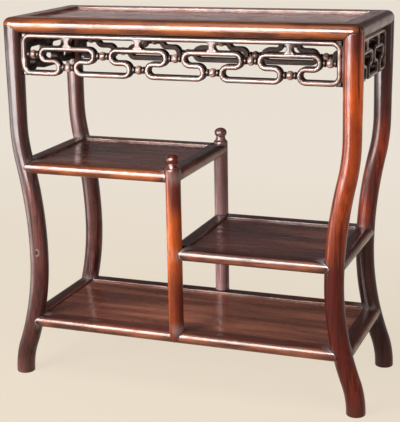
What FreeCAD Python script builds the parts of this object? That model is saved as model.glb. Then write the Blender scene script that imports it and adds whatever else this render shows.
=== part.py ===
import FreeCAD, Part
import math
import os

V = FreeCAD.Vector

# Lengths are in millimetres. The origin is on the floor under the middle of the stand,
# with x to the right, y towards the back and z up.

# Legs: round, straight at the top, drawn in at the waist and flared at the foot
height = 820.0
leg_half_x = 375.5           # leg axis above the shoulder, from the middle
leg_half_y = 144.0
leg_diameter = 42.0
shoulder_height = 590.0      # the leg is straight above this
upper_turn_drop = 90.0       # the curve changes side this far below the shoulder
waist_height = 290.0
waist_inset = 33.5           # the waist lies this far inside the top of the leg
lower_turn_height = 72.0     # the curve changes side again
ankle_spread = 38.4          # the lower turn lies this far outside the waist
foot_spread = 12.0           # the foot lies this far outside the lower turn
foot_rounding = 3.0

# Frames of the top and the shelves, each with a panel sunk between four rails
top_thickness = 32.0
top_rail_width = 46.0
top_panel_sink = 5.0
shelf_thickness = 26.5
shelf_rail_width = 38.0
shelf_panel_sink = 4.5
shelf_setback = 0.75         # shelf rails stand this far behind the leg's outer face
rail_lip = 2.0               # bevel along the inner top edge of a rail
panel_thickness = 10.0
panel_tongue = 7.0           # the panel's edge reaches this far into the rails
tongue_step = 2.0            # the edge lies this far below the panel's face
bottom_shelf_height = 131.0  # middle of the rails
right_shelf_height = 321.0
left_shelf_height = 491.0

# Posts between the bottom shelf and the two upper shelves, each with a turned finial
post_diameter = 33.0
post_x = -8.0
post_proud = 4.5             # posts stand this far out in front of the rails
post_tip_drop = 9.0          # the foot's point reaches this far below the middle of the rail
finial_rise = 2.0            # plain post above the left shelf
finial_shoulder = 4.5        # height of the rounded shoulder
finial_ledge_diameter = 27.0 # top of the shoulder, where the neck starts
finial_neck_diameter = 21.0
finial_neck_height = 10.5
finial_neck_hollow = 0.8     # the neck's outline is hollowed this far
finial_ball_diameter = 29.0
finial_ball_height = 18.0
ball_middle_share = 0.46     # height of the ball's widest place, as part of its own height
finial_cap_diameter = 15.0
finial_cap_height = 1.5      # low dome on the ball

# Pierced aprons: a looped strand in a frame, with turned beads in the gaps
apron_drop = 1.5             # gap under the top rail
apron_height = 91.0
apron_thickness = 20.0
apron_recess = 11.5          # apron face behind the leg's outer face
strand_width = 11.0
front_loops = 4
side_loops = 2
front_loop_gap = 40.0        # between the strands of neighbouring loops, at their middles
side_loop_gap = 22.0
frame_corner_radius = 10.0
stem_width = 10.0
stem_flare_share = 0.8       # widening at each end of a stem, as part of half its height
bead_neck_diameter = 12.0
collar_share = 0.32          # part of the bead row that each end collar takes
bead_bulge_share = 0.65      # height of a bead or collar above the neck, as part of half its width

# Battens under the panels, let into them with a sliding dovetail
batten_width = 26.0
batten_clear = 1.0           # batten underside above the underside of the rails
dovetail_width = 12.0
dovetail_depth = 3.0
dovetail_flare = 1.5
batten_tenon_width = 16.0
batten_tenon_depth = 8.0

# Mortises and tenons
tenon_thickness = 8.0
tenon_width = 18.0
tenon_depth = 13.0
tenon_spacing = 2.0          # wood left between a long and a short rail's tenons
leg_tenon_side = 12.0
leg_tenon_cover = 6.0        # wood left above the tenon at the top of a leg
post_tenon_side = 12.0
post_tenon_depth = 10.0
apron_tenon_height = 40.0
apron_tenon_thickness = 8.0
apron_tenon_depth = 9.0
joint_root = 4.0             # a tenon starts this far inside its own piece
clearance = 0.2
overrun = 12.0               # cutting shapes reach this far past what they cut

# Sizes and shares that follow from those above, and turns in degrees
quarter_arc_share = 1 - math.sqrt(1 / 2)   # a quarter arc's middle from its corner, as part of its radius
quarter_turn = 90
half_turn = 2 * quarter_turn
full_turn = 2 * half_turn
leg_radius = leg_diameter / 2
post_radius = post_diameter / 2
upper_turn_height = shoulder_height - upper_turn_drop
waist_x = leg_half_x - waist_inset
outer_half_x = leg_half_x + leg_radius
outer_half_y = leg_half_y + leg_radius
shelf_half_y = outer_half_y - shelf_setback
post_half_y = shelf_half_y + post_proud - post_radius
top_underside = height - top_thickness
top_middle = height - top_thickness / 2
apron_top = top_underside - apron_drop
apron_base = apron_top - apron_height
corners = [(side_x, side_y) for side_x in (-1, 1) for side_y in (-1, 1)]
side_names = {-1: "left", 1: "right"}
face_names = {-1: "front", 1: "back"}


def block(x, y, z):
    """Box between two limits on each axis."""
    return Part.makeBox(x[1] - x[0], y[1] - y[0], z[1] - z[0], V(x[0], y[0], z[0]))


def around(middle, size):
    """Limits of a size laid evenly about a middle."""
    return (middle - size / 2, middle + size / 2)


def between(a, b):
    """The same two limits in rising order."""
    return (min(a, b), max(a, b))


def grown(limits, amount):
    """Limits moved apart by an amount at each end."""
    return (limits[0] - amount, limits[1] + amount)


def prism(points, run):
    """Straight-sided solid on a closed outline."""
    return Part.Face(Part.makePolygon(points + [points[0]])).extrude(run)


def chain(edges):
    """Flat face inside a closed run of edges."""
    return Part.Face(Part.Wire([edge.toShape() for edge in edges]))


# Legs

def leg_stations():
    """Height, distance out and lean of the leg's axis at each change of curve, from the top down."""
    upper_lean = 2 * math.atan(waist_inset / (shoulder_height - waist_height))
    lower_lean = 2 * math.atan(ankle_spread / (waist_height - lower_turn_height))
    foot_lean = 2 * math.atan(foot_spread / lower_turn_height) - lower_lean
    upper_shift = (shoulder_height - upper_turn_height) * math.tan(upper_lean / 2)
    return [
        (shoulder_height, leg_half_x, 0),
        (upper_turn_height, leg_half_x - upper_shift, -upper_lean),
        (waist_height, waist_x, 0),
        (lower_turn_height, waist_x + ankle_spread, lower_lean),
        (0, waist_x + ankle_spread + foot_spread, foot_lean),
    ]


def bend_radius(upper, lower):
    """Signed radius of the arc between two stations."""
    return (upper[0] - lower[0]) / (math.sin(lower[2]) - math.sin(upper[2]))


def leg_axis_x(z):
    """Distance of the leg's axis from the middle at a height."""
    stations = leg_stations()
    for upper, lower in zip(stations, stations[1:]):
        if lower[0] <= z <= upper[0]:
            radius = bend_radius(upper, lower)
            lean = math.asin(math.sin(upper[2]) + (upper[0] - z) / radius)
            return upper[1] + radius * (math.cos(upper[2]) - math.cos(lean))
    return leg_half_x


def leg_path():
    """Axis of a right-hand leg as one line of straight runs and tangent arcs, from the top down."""
    stations = leg_stations()
    points = [V(x, 0, z) for z, x, lean in stations]
    edges = [Part.LineSegment(V(leg_half_x, 0, height), points[0])]
    for index, (upper, lower) in enumerate(zip(stations, stations[1:])):
        radius = bend_radius(upper, lower)
        lean = (upper[2] + lower[2]) / 2
        x = upper[1] + radius * (math.cos(upper[2]) - math.cos(lean))
        z = upper[0] - radius * (math.sin(lean) - math.sin(upper[2]))
        edges.append(Part.Arc(points[index], V(x, 0, z), points[index + 1]))
    foot_lean = stations[-1][2]
    below = V(math.sin(foot_lean), 0, -math.cos(foot_lean)) * overrun
    edges.append(Part.LineSegment(points[-1], points[-1] + below))
    return Part.Wire([edge.toShape() for edge in edges])


def round_leg(side_x, side_y, radius):
    """Leg of a given radius at one corner, before its joints are cut."""
    ring = Part.Wire(Part.Circle(V(leg_half_x, 0, height), V(0, 0, 1), radius).toShape())
    leg = leg_path().makePipeShell([ring], True, False)
    below_floor = block(grown((waist_x, outer_half_x), leg_diameter), around(0, 2 * leg_diameter),
                        (-2 * overrun, 0))
    leg = leg.cut(below_floor)
    if side_x < 0:
        leg.rotate(V(0, 0, 0), V(0, 0, 1), half_turn)
    leg.translate(V(0, side_y * leg_half_y, 0))
    return leg


def rounded_foot(leg):
    """Leg with the edge round its sole eased."""
    sole = [edge for edge in leg.Edges if edge.BoundBox.ZMax < foot_rounding]
    return leg.makeFillet(foot_rounding, sole)


def mitre_wedges(side_x, side_y, above):
    """The two wedges above, or below, the joints between a leg and the top rails at its corner.

    Each joint rises as a mitre from the inner foot of the rail to the leg's axis, and runs level
    from there outwards at half the rail's height. The first wedge lies along the joint with the
    long rail, the second along the joint with the short rail.
    """
    low = top_underside - overrun * top_thickness / leg_diameter
    high = height + overrun
    reach = leg_radius + overrun
    wedges = []
    for middle, axis, side in ((leg_half_x, V(1, 0, 0), side_x), (leg_half_y, V(0, 1, 0), side_y)):
        inner = axis * (side * (middle - reach))
        outer = axis * (side * (middle + reach))
        ridge = axis * (side * middle)
        outline = [inner + V(0, 0, low), ridge + V(0, 0, top_middle), outer + V(0, 0, top_middle)]
        if above:
            outline += [outer + V(0, 0, high), inner + V(0, 0, high)]
        else:
            outline += [outer + V(0, 0, low)]
        if axis.x:
            across, shift = V(0, 1, 0), side_y * leg_half_y
        else:
            across, shift = V(1, 0, 0), side_x * leg_half_x
        start = across * (shift - reach)
        wedges.append(prism([point + start for point in outline], across * (2 * reach)))
    return wedges


def corner_waste(side_x, side_y):
    """What is cut from a corner of the top, so that its half-round edge is carried round the leg's axis."""
    half = top_thickness / 2
    flat = leg_radius - half
    middle = V(side_x * leg_half_x, side_y * leg_half_y, top_middle)

    def at(out, rise):
        return middle + V(out, 0, rise)

    edges = [
        Part.LineSegment(at(0, -half), at(flat, -half)),
        Part.Arc(at(flat, -half), at(leg_radius, 0), at(flat, half)),
        Part.LineSegment(at(flat, half), at(0, half)),
        Part.LineSegment(at(0, half), at(0, -half)),
    ]
    kept = chain(edges).revolve(middle, V(0, 0, 1), full_turn)
    x = between(side_x * leg_half_x, side_x * (outer_half_x + overrun))
    y = between(side_y * leg_half_y, side_y * (outer_half_y + overrun))
    return block(x, y, grown((top_underside, height), overrun)).cut(kept)


def leg_tenon(side_x, side_y, play):
    """Square tenon at the top of a leg, or its mortise when given some play."""
    x = grown(around(side_x * leg_half_x, leg_tenon_side), play)
    y = grown(around(side_y * leg_half_y, leg_tenon_side), play)
    return block(x, y, (top_underside, height - leg_tenon_cover + play))


# Frames with sunk panels

def edge_rail(start, run, outward, thickness, width):
    """Rail with a half-round outer edge, its outer edge's middle line starting at a point."""
    half = thickness / 2

    def at(inward, rise):
        return start - outward * inward + V(0, 0, rise)

    edges = [
        Part.Arc(at(half, half), at(0, 0), at(half, -half)),
        Part.LineSegment(at(half, -half), at(width, -half)),
        Part.LineSegment(at(width, -half), at(width, half - rail_lip)),
        Part.LineSegment(at(width, half - rail_lip), at(width - rail_lip, half)),
        Part.LineSegment(at(width - rail_lip, half), at(half, half)),
    ]
    return chain(edges).extrude(run)


def frame_rails(x, half_y, z, thickness, width):
    """Four rails mitred round a rectangle: front, back, left and right."""
    rails = {}
    lift = V(0, 0, z - thickness)
    tall = V(0, 0, 2 * thickness)
    for side_y in (-1, 1):
        y = side_y * half_y
        inner_y = side_y * (half_y - width)
        plan = [V(x[0], y, 0), V(x[1], y, 0), V(x[1] - width, inner_y, 0), V(x[0] + width, inner_y, 0)]
        bar = edge_rail(V(x[0], y, z), V(x[1] - x[0], 0, 0), V(0, side_y, 0), thickness, width)
        rails[face_names[side_y]] = bar.common(prism([point + lift for point in plan], tall))
    for side_x, outer in ((-1, x[0]), (1, x[1])):
        inner = outer - side_x * width
        inner_y = half_y - width
        plan = [V(outer, -half_y, 0), V(outer, half_y, 0), V(inner, inner_y, 0), V(inner, -inner_y, 0)]
        bar = edge_rail(V(outer, -half_y, z), V(0, 2 * half_y, 0), V(side_x, 0, 0), thickness, width)
        rails[side_names[side_x]] = bar.common(prism([point + lift for point in plan], tall))
    return rails


def panel_edge(x, half_y, top, width, play):
    """Thin edge of a panel let into the rails of a frame, or its groove when given some play."""
    reach = width - panel_tongue - play
    z = grown((top - panel_thickness, top - tongue_step), play)
    return block((x[0] + reach, x[1] - reach), (reach - half_y, half_y - reach), z)


def sunk_panel(x, half_y, top, width):
    """Panel whose face fills the space between the rails, stepped down to a thin edge all round."""
    reach = width + clearance
    inner_y = half_y - reach
    field = block((x[0] + reach, x[1] - reach), (-inner_y, inner_y), (top - panel_thickness, top))
    return field.fuse(panel_edge(x, half_y, top, width, 0)).removeSplitter()


def dovetail(x, half_length, z, play):
    """Ridge along the top of a batten, or its groove when given some play."""
    foot = dovetail_width / 2 + play
    crown = foot + dovetail_flare
    rise = dovetail_depth + play
    outline = [V(x - foot, -half_length, z), V(x + foot, -half_length, z),
               V(x + crown, -half_length, z + rise), V(x - crown, -half_length, z + rise)]
    return prism(outline, V(0, 2 * half_length, 0))


def batten(x, half_length, z, play):
    """Bar between the long rails with a tenon at each end, or its tenons alone when given some play."""
    long_bar = block(around(x, batten_tenon_width + 2 * play),
                     around(0, 2 * (half_length + batten_tenon_depth + play)), grown(z, play))
    if play:
        return long_bar
    bar = block(around(x, batten_width), around(0, 2 * (half_length - clearance)), z)
    return bar.fuse(long_bar).fuse(dovetail(x, half_length - clearance, z[1], 0)).removeSplitter()


def panelled_frame(x, half_y, z, thickness, width, sink, batten_places):
    """Rails, panel and battens of one frame, the rails grooved and mortised for the others."""
    top = z + thickness / 2 - sink
    underside = top - panel_thickness
    inner_half = half_y - width
    rails = frame_rails(x, half_y, z, thickness, width)
    panel = sunk_panel(x, half_y, top, width)
    groove = panel_edge(x, half_y, top, width, clearance)
    batten_z = (z - thickness / 2 + batten_clear, underside - clearance)
    bars = []
    for place in batten_places:
        bars.append(batten(place, inner_half, batten_z, 0))
        panel = panel.cut(dovetail(place, half_y, batten_z[1], clearance))
        for face in face_names.values():
            rails[face] = rails[face].cut(batten(place, inner_half, batten_z, clearance))
    for face in rails:
        rails[face] = rails[face].cut(groove)
    return rails, panel, bars


def scribed_rails(rails, supports, sheaths):
    """Rails ended at the axes of their legs or posts and hollowed to fit round them."""
    span_x = (supports[-1][0], supports[1][0])
    deep = 2 * height
    for face in face_names.values():
        rails[face] = rails[face].common(block(span_x, around(0, deep), (0, height)))
    for side_x, side in side_names.items():
        span_y = around(0, 2 * supports[side_x][1])
        rails[side] = rails[side].common(block(around(0, deep), span_y, (0, height)))
    for side_x, side_y in corners:
        for face in (face_names[side_y], side_names[side_x]):
            rails[face] = rails[face].cut(sheaths[(side_x, side_y)])
    return rails


def rail_tenons(z, supports):
    """Tenon of each rail at each end: the rail, the corner and the tenon's limits on each axis.

    The long rails' tenons lie in the upper half of the frame and the short rails' in the lower,
    so that they pass each other inside the leg or post.
    """
    upper = (z + tenon_spacing / 2, z + tenon_spacing / 2 + tenon_thickness)
    lower = (z - tenon_spacing / 2 - tenon_thickness, z - tenon_spacing / 2)
    tenons = []
    for side_x, side_y in corners:
        middle_x, middle_y, radius = supports[side_x]
        start = radius + joint_root
        end = radius - tenon_depth
        along_x = between(middle_x - side_x * start, middle_x - side_x * end)
        along_y = between(side_y * (middle_y - start), side_y * (middle_y - end))
        wide_x = around(middle_x, tenon_width)
        wide_y = around(side_y * middle_y, tenon_width)
        tenons.append((face_names[side_y], (side_x, side_y), along_x, wide_y, upper))
        tenons.append((side_names[side_x], (side_x, side_y), wide_x, along_y, lower))
    return tenons


def grown_block(x, y, z):
    """Mortise for a tenon between two limits on each axis."""
    return block(grown(x, clearance), grown(y, clearance), grown(z, clearance))


# Posts

def turned_post(middle, radius, foot, shoulder):
    """Round post with a rounded shoulder, a hollow neck and a flattened ball turned on its end."""
    ledge = finial_ledge_diameter / 2
    neck = finial_neck_diameter / 2
    ball = finial_ball_diameter / 2
    cap = finial_cap_diameter / 2
    neck_base = shoulder + finial_shoulder
    neck_top = neck_base + finial_neck_height
    neck_middle = (ledge + neck) / 2 - finial_neck_hollow
    ball_middle = neck_top + ball_middle_share * finial_ball_height
    ball_top = neck_top + finial_ball_height
    crown = ball_top + finial_cap_height
    cap_radius = (cap ** 2 + finial_cap_height ** 2) / (2 * finial_cap_height)
    cap_half_angle = math.atan(finial_cap_height / cap)
    cap_side = cap_radius * math.sin(cap_half_angle)
    cap_drop = cap_radius * (1 - math.cos(cap_half_angle))
    easing = (radius - ledge) * quarter_arc_share
    shoulder_drop = finial_shoulder * quarter_arc_share

    def at(out, z):
        return middle + V(out, 0, z)

    edges = [
        Part.LineSegment(at(0, foot), at(radius, foot)),
        Part.LineSegment(at(radius, foot), at(radius, shoulder)),
        Part.Arc(at(radius, shoulder), at(radius - easing, neck_base - shoulder_drop), at(ledge, neck_base)),
        Part.Arc(at(ledge, neck_base), at(neck_middle, (neck_base + neck_top) / 2), at(neck, neck_top)),
        Part.Arc(at(neck, neck_top), at(ball, ball_middle), at(cap, ball_top)),
        Part.Arc(at(cap, ball_top), at(cap_side, crown - cap_drop), at(0, crown)),
        Part.LineSegment(at(0, crown), at(0, foot)),
    ]
    return chain(edges).revolve(middle, V(0, 0, 1), full_turn)


def post_tenon(side_y, play):
    """Square tenon under a post, or its mortise when given some play."""
    top = bottom_shelf_height + shelf_thickness / 2
    x = grown(around(post_x, post_tenon_side), play)
    y = grown(around(side_y * post_half_y, post_tenon_side), play)
    return block(x, y, (top - post_tenon_depth - play, top + joint_root))


def post(side_y):
    """Post whose foot is scribed over the rounded edge of the bottom rail and ends in a point."""
    rail_top = bottom_shelf_height + shelf_thickness / 2
    tip = bottom_shelf_height - post_tip_drop
    shoulder = left_shelf_height + shelf_thickness / 2 + finial_rise
    middle = V(post_x, side_y * post_half_y, 0)
    shape = turned_post(middle, post_radius, tip, shoulder)
    rail_start = V(-outer_half_x, side_y * (shelf_half_y + clearance), bottom_shelf_height)
    rail_space = edge_rail(rail_start, V(2 * outer_half_x, 0, 0), V(0, side_y, 0),
                           shelf_thickness + 2 * clearance, shelf_rail_width + 2 * clearance)
    shape = shape.cut(rail_space)
    back = side_y * post_half_y - overrun - post_radius
    depth = V(0, 2 * (post_radius + overrun), 0)
    for side_x in (-1, 1):
        outside = post_x + side_x * (post_radius + overrun)
        outline = [V(post_x, back, tip), V(post_x + side_x * post_radius, back, rail_top),
                   V(outside, back, rail_top), V(outside, back, tip - overrun),
                   V(post_x, back, tip - overrun)]
        shape = shape.cut(prism(outline, depth))
    return shape.fuse(post_tenon(side_y, 0)).removeSplitter()


# Aprons

def ribbon(runs, half_width):
    """Flat band along straight level runs, each joined to the next by a half turn.

    A run is a pair of (x, z) ends. The band's two edges are the runs moved sideways, and
    circles about the middle of each turn.
    """
    sides = []
    for side in (1, -1):
        edges = []
        for index, (start, end) in enumerate(runs):
            heading = 1 if end[0] > start[0] else -1
            shift = side * heading * half_width
            first = V(start[0], 0, start[1] + shift)
            last = V(end[0], 0, end[1] + shift)
            edges.append((first, None, last))
            if index + 1 < len(runs):
                follow = runs[index + 1][0]
                turn = heading if follow[1] > end[1] else -heading
                radius = abs(follow[1] - end[1]) / 2 - turn * side * half_width
                apex = V(end[0] + heading * radius, 0, (end[1] + follow[1]) / 2)
                edges.append((last, apex, V(follow[0], 0, follow[1] - shift)))
        sides.append(edges)
    left, right = sides
    back = [(last, apex, first) for first, apex, last in reversed(right)]
    outline = left + [(left[-1][2], None, back[0][0])] + back + [(back[-1][2], None, left[0][0])]
    return chain([Part.Arc(a, b, c) if b else Part.LineSegment(a, c) for a, b, c in outline])


def apron_border(half):
    """Frame of an apron: uprights, top strand and ends of the base, rounded inside its corners."""
    reach = half + leg_radius
    side = half - frame_corner_radius
    inner_top = apron_top - strand_width
    inner_base = apron_base + strand_width
    high = inner_top - frame_corner_radius
    low = inner_base + frame_corner_radius
    diagonal = frame_corner_radius * quarter_arc_share

    def at(x, z):
        return V(x, 0, z)

    points = [at(-side, inner_base), at(-side, apron_base), at(-reach, apron_base), at(-reach, apron_top),
              at(reach, apron_top), at(reach, apron_base), at(side, apron_base), at(side, inner_base)]
    edges = [Part.LineSegment(a, b) for a, b in zip(points, points[1:])]
    edges += [
        Part.Arc(at(side, inner_base), at(half - diagonal, inner_base + diagonal), at(half, low)),
        Part.LineSegment(at(half, low), at(half, high)),
        Part.Arc(at(half, high), at(half - diagonal, inner_top - diagonal), at(side, inner_top)),
        Part.LineSegment(at(side, inner_top), at(-side, inner_top)),
        Part.Arc(at(-side, inner_top), at(diagonal - half, inner_top - diagonal), at(-half, high)),
        Part.LineSegment(at(-half, high), at(-half, low)),
        Part.Arc(at(-half, low), at(diagonal - half, inner_base + diagonal), at(-side, inner_base)),
    ]
    return chain(edges)


def stem(x, low, high):
    """Upright across the opening between two strands, narrow in the middle and flared into both."""
    narrow = stem_width / 2
    wide = narrow + stem_flare_share * (high - low) / 2
    middle = (low + high) / 2
    under = low - strand_width / 2
    over = high + strand_width / 2

    def at(out, z):
        return V(x + out, 0, z)

    edges = [
        Part.LineSegment(at(-wide, under), at(wide, under)),
        Part.LineSegment(at(wide, under), at(wide, low)),
        Part.Arc(at(wide, low), at(narrow, middle), at(wide, high)),
        Part.LineSegment(at(wide, high), at(wide, over)),
        Part.LineSegment(at(wide, over), at(-wide, over)),
        Part.LineSegment(at(-wide, over), at(-wide, high)),
        Part.Arc(at(-wide, high), at(-narrow, middle), at(-wide, low)),
        Part.LineSegment(at(-wide, low), at(-wide, under)),
    ]
    return chain(edges)


def bead_row(x, z, length):
    """Bead between two collars, turned about a level axis that fills a gap between loops."""
    reach = length / 2 + strand_width / 2
    waist = length / 2 - collar_share * length
    neck = bead_neck_diameter / 2
    bead_top = neck + bead_bulge_share * waist
    collar_top = neck + bead_bulge_share * collar_share * length / 2
    collar_middle = (waist + length / 2) / 2

    def at(along, out):
        return V(x + along, apron_thickness / 2, z + out)

    edges = [
        Part.LineSegment(at(-reach, 0), at(-reach, neck)),
        Part.LineSegment(at(-reach, neck), at(-length / 2, neck)),
        Part.Arc(at(-length / 2, neck), at(-collar_middle, collar_top), at(-waist, neck)),
        Part.Arc(at(-waist, neck), at(0, bead_top), at(waist, neck)),
        Part.Arc(at(waist, neck), at(collar_middle, collar_top), at(length / 2, neck)),
        Part.LineSegment(at(length / 2, neck), at(reach, neck)),
        Part.LineSegment(at(reach, neck), at(reach, 0)),
        Part.LineSegment(at(reach, 0), at(-reach, 0)),
    ]
    return chain(edges).revolve(at(0, 0), V(1, 0, 0), full_turn)


def apron_board(axis_half, loops, loop_gap):
    """Pierced apron that faces -y with its face on y = 0, reaching into the legs at both ends."""
    half = axis_half - leg_radius - strand_width
    half_strand = strand_width / 2
    top = apron_top - half_strand
    base = apron_base + half_strand
    step = (top - base) / 3
    middle, back = top - step, base + step
    turn = step / 2
    gap = loop_gap / 2
    pitch = 2 * (half - gap + half_strand) / loops
    reach = pitch / 2 - gap
    stems = [(index - (loops - 1) / 2) * pitch for index in range(loops)]
    runs = []
    start = -half - half_strand
    for x in stems:
        runs.append(((start, base), (x - gap - turn, base)))
        runs.append(((x - gap - turn, back), (x - reach + turn, back)))
        runs.append(((x - reach + turn, middle), (x + reach - turn, middle)))
        runs.append(((x + reach - turn, back), (x + gap + turn, back)))
        start = x + gap + turn
    runs.append(((start, base), (half + half_strand, base)))
    run = V(0, apron_thickness, 0)
    pieces = [apron_border(half).extrude(run), ribbon(runs, half_strand).extrude(run)]
    pieces += [stem(x, middle + half_strand, top - half_strand).extrude(run) for x in stems]
    length = loop_gap - strand_width
    pieces += [bead_row(x, (base + back) / 2, length) for x in stems]
    pieces += [bead_row(x - pitch / 2, (middle + back) / 2, length) for x in stems + [stems[-1] + pitch]]
    return pieces[0].multiFuse(pieces[1:]).removeSplitter()


def apron_tenon(axis_half, side, play):
    """Tenon on one end of an apron, or its mortise when given some play."""
    surface = axis_half - leg_radius
    x = grown(between(side * (surface - joint_root), side * (surface + apron_tenon_depth)), play)
    y = grown(around(apron_thickness / 2, apron_tenon_thickness), play)
    z = grown(around((apron_top + apron_base) / 2, apron_tenon_height), play)
    return block(x, y, z)


def placed_apron(shape, turn, half_depth):
    """Shape made for the front face turned to another face of the stand."""
    moved = shape.copy()
    moved.translate(V(0, apron_recess - half_depth, 0))
    moved.rotate(V(0, 0, 0), V(0, 0, 1), turn)
    return moved


# Assembly

def main():
    nodes = {}
    sheaths = {}
    legs = {}
    for side_x, side_y in corners:
        key = (side_x, side_y)
        sheaths[key] = round_leg(side_x, side_y, leg_radius + clearance)
        leg = rounded_foot(round_leg(side_x, side_y, leg_radius))
        for wedge in mitre_wedges(side_x, side_y, True):
            leg = leg.cut(wedge)
        legs[key] = leg.fuse(leg_tenon(side_x, side_y, 0))

    # Top: the rails are mitred to each other and to the legs
    top_x = (-outer_half_x, outer_half_x)
    third = (2 * outer_half_x - 2 * top_rail_width) / 3
    rails, panel, bars = panelled_frame(top_x, outer_half_y, top_middle, top_thickness, top_rail_width,
                                        top_panel_sink, [-third / 2, third / 2])
    for side_x, side_y in corners:
        along_long, along_short = mitre_wedges(side_x, side_y, False)
        mortise = leg_tenon(side_x, side_y, clearance)
        face, side = face_names[side_y], side_names[side_x]
        waste = corner_waste(side_x, side_y)
        rails[face] = rails[face].cut(along_long).cut(mortise).cut(waste)
        rails[side] = rails[side].cut(along_short).cut(mortise).cut(waste)
    for face, rail in rails.items():
        nodes["top_%s_rail" % face] = rail
    nodes["top_panel"] = panel
    nodes["top_batten_left"], nodes["top_batten_right"] = bars

    # Posts
    posts = {}
    post_sheaths = {}
    for side_y in (-1, 1):
        posts[side_y] = post(side_y)
        post_sheaths[side_y] = Part.makeCylinder(post_radius + clearance, height,
                                                 V(post_x, side_y * post_half_y, 0))

    # Shelves: rails scribed and tenoned to the legs, and to the posts where a shelf ends at them
    bottom_leg = leg_axis_x(bottom_shelf_height)
    right_leg = leg_axis_x(right_shelf_height)
    left_leg = leg_axis_x(left_shelf_height)
    at_post = (post_x, post_half_y, post_radius)
    shelves = {
        "bottom_shelf": (bottom_shelf_height, {-1: (-bottom_leg, leg_half_y, leg_radius),
                                               1: (bottom_leg, leg_half_y, leg_radius)}),
        "left_shelf": (left_shelf_height, {-1: (-left_leg, leg_half_y, leg_radius), 1: at_post}),
        "right_shelf": (right_shelf_height, {-1: at_post, 1: (right_leg, leg_half_y, leg_radius)}),
    }
    for name, (z, supports) in shelves.items():
        left, right = supports[-1], supports[1]
        x = (left[0] - left[2] + shelf_setback, right[0] + right[2] - shelf_setback)
        clear = x[1] - x[0] - 2 * shelf_rail_width
        if name == "bottom_shelf":
            places = [-clear / 6, clear / 6]
        else:
            places = [(x[0] + x[1]) / 2]
        rails, panel, bars = panelled_frame(x, shelf_half_y, z, shelf_thickness, shelf_rail_width,
                                            shelf_panel_sink, places)
        holders = {}
        holder_sheaths = {}
        for side_x, side_y in corners:
            held_by_post = supports[side_x] == at_post
            corner = (side_x, side_y)
            holders[corner] = (posts, side_y) if held_by_post else (legs, corner)
            holder_sheaths[corner] = post_sheaths[side_y] if held_by_post else sheaths[corner]
            panel = panel.cut(holder_sheaths[corner])
        rails = scribed_rails(rails, supports, holder_sheaths)
        for face, corner, along_x, along_y, along_z in rail_tenons(z, supports):
            rails[face] = rails[face].fuse(block(along_x, along_y, along_z))
            group, key = holders[corner]
            group[key] = group[key].cut(grown_block(along_x, along_y, along_z))
        if name == "bottom_shelf":
            for side_y in (-1, 1):
                face = face_names[side_y]
                rails[face] = rails[face].cut(post_tenon(side_y, clearance))
        for face, rail in rails.items():
            nodes["%s_%s_rail" % (name, face)] = rail.removeSplitter()
        nodes["%s_panel" % name] = panel
        for bar, suffix in zip(bars, ("_left", "_right") if len(bars) > 1 else ("",)):
            nodes["%s_batten%s" % (name, suffix)] = bar

    # Aprons: one board under each top rail, tenoned into the legs
    long_board = apron_board(leg_half_x, front_loops, front_loop_gap)
    short_board = apron_board(leg_half_y, side_loops, side_loop_gap)
    aprons = {
        "front_apron": (long_board, 0, leg_half_x, outer_half_y, {-1: (-1, -1), 1: (1, -1)}),
        "back_apron": (long_board, half_turn, leg_half_x, outer_half_y, {-1: (1, 1), 1: (-1, 1)}),
        "left_apron": (short_board, -quarter_turn, leg_half_y, outer_half_x, {-1: (-1, 1), 1: (-1, -1)}),
        "right_apron": (short_board, quarter_turn, leg_half_y, outer_half_x, {-1: (1, -1), 1: (1, 1)}),
    }
    for name, (board, turn, axis_half, half_depth, ends) in aprons.items():
        apron = placed_apron(board, turn, half_depth)
        for side, key in ends.items():
            apron = apron.cut(sheaths[key])
            apron = apron.fuse(placed_apron(apron_tenon(axis_half, side, 0), turn, half_depth))
            mortise = placed_apron(apron_tenon(axis_half, side, clearance), turn, half_depth)
            legs[key] = legs[key].cut(mortise)
        nodes[name] = apron.removeSplitter()

    for (side_x, side_y), leg in legs.items():
        nodes["leg_%s_%s" % (face_names[side_y], side_names[side_x])] = leg
    for side_y, shape in posts.items():
        nodes["post_%s" % face_names[side_y]] = shape

    os.makedirs("parts", exist_ok=True)
    for name, shape in nodes.items():
        box = shape.BoundBox
        print("%-28s solids %d valid %s volume %.0f  x %.1f..%.1f y %.1f..%.1f z %.1f..%.1f" % (
            name, len(shape.Solids), shape.isValid(), shape.Volume,
            box.XMin, box.XMax, box.YMin, box.YMax, box.ZMin, box.ZMax))
        shape.exportStep("parts/%s.step" % name)


main()
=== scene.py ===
import math
import bpy
import numpy as np
from mathutils import Matrix, Vector


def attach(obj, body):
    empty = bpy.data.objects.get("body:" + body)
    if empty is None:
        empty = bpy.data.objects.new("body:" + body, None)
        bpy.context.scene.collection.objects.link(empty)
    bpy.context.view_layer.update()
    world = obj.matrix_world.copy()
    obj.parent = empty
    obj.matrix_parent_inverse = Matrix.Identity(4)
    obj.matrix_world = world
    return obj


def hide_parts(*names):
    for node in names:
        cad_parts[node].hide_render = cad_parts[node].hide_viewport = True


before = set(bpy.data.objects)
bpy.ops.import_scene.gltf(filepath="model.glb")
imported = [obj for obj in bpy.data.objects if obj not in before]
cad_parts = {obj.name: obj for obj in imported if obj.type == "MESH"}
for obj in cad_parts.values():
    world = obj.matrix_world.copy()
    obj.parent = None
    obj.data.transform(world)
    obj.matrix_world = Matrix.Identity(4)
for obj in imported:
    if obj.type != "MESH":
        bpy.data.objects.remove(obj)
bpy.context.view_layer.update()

print("frame loaded with", len(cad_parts), "nodes")

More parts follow.
